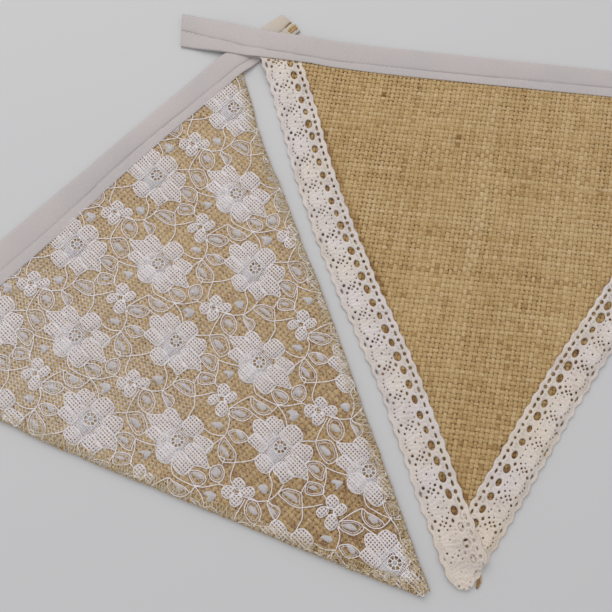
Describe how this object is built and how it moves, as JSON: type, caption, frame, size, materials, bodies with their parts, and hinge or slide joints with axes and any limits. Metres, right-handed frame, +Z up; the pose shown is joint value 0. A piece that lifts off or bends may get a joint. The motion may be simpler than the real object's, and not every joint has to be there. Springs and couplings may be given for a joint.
{
  "type": "pennant bunting",
  "caption": "Two crossed lengths of triangular hessian pennant bunting, with folded binding tape, one pennant under floral lace and one edged with crochet lace.",
  "frame": {"origin": "centre of the footprint, on the surface the bunting lies on", "axes": "+X along the upper binding tape, towards its far end; +Y away from the pennants' tips; +Z up from the surface"},
  "size_m": [0.4602, 0.279, 0.0052],
  "materials": {
    "hessian": "coarse plain weave of golden tan jute, matt and hairy",
    "binding": "smooth cream cotton bias binding, matt",
    "floral_lace": "corded off-white lace, matt with a faint sheen on the cords",
    "crochet_lace": "cream cotton torchon lace, matt",
    "gold_thread": "straw-coloured overlock thread, slightly glossy",
    "cream_thread": "cream sewing thread, slightly glossy"
  },
  "bodies": {
    "lower_tape": {"lower_binding_tape": "binding", "lower_tape_topstitch": "cream_thread", "panel_heading_1": "hessian", "burlap_scrap": "hessian"},
    "pennant_1": {"burlap_panel_1": "hessian", "floral_lace_1": "floral_lace", "edge_overlock_left_1": "gold_thread", "edge_overlock_right_1": "gold_thread"},
    "upper_tape": {"upper_binding_tape": "binding", "upper_tape_topstitch": "cream_thread", "panel_heading_2": "hessian", "lace_head_left_2": "crochet_lace", "lace_head_right_2": "crochet_lace"},
    "pennant_2": {"burlap_panel_2": "hessian", "crochet_lace_left_2": "crochet_lace", "crochet_lace_right_2": "crochet_lace", "lace_stitch_left_2": "cream_thread", "lace_stitch_right_2": "cream_thread"}
  },
  "joints": [
    {"name": "pennant_1_swing", "type": "hinge", "parent": "lower_tape", "child": "pennant_1", "pos_m": [-0.05514, 0.10168, 0.0024], "axis": [-0.6211, -0.7837, 0], "range_deg": [0, 95]},
    {"name": "crossing_pivot", "type": "hinge", "parent": "lower_tape", "child": "upper_tape", "pos_m": [-0.05217, 0.11838, 0], "axis": [0, 0, 1], "range_deg": [0, 25]},
    {"name": "pennant_2_swing", "type": "hinge", "parent": "upper_tape", "child": "pennant_2", "pos_m": [-0.04788, 0.11088, 0.0024], "axis": [-1, 0, 0], "range_deg": [0, 95]}
  ]
}
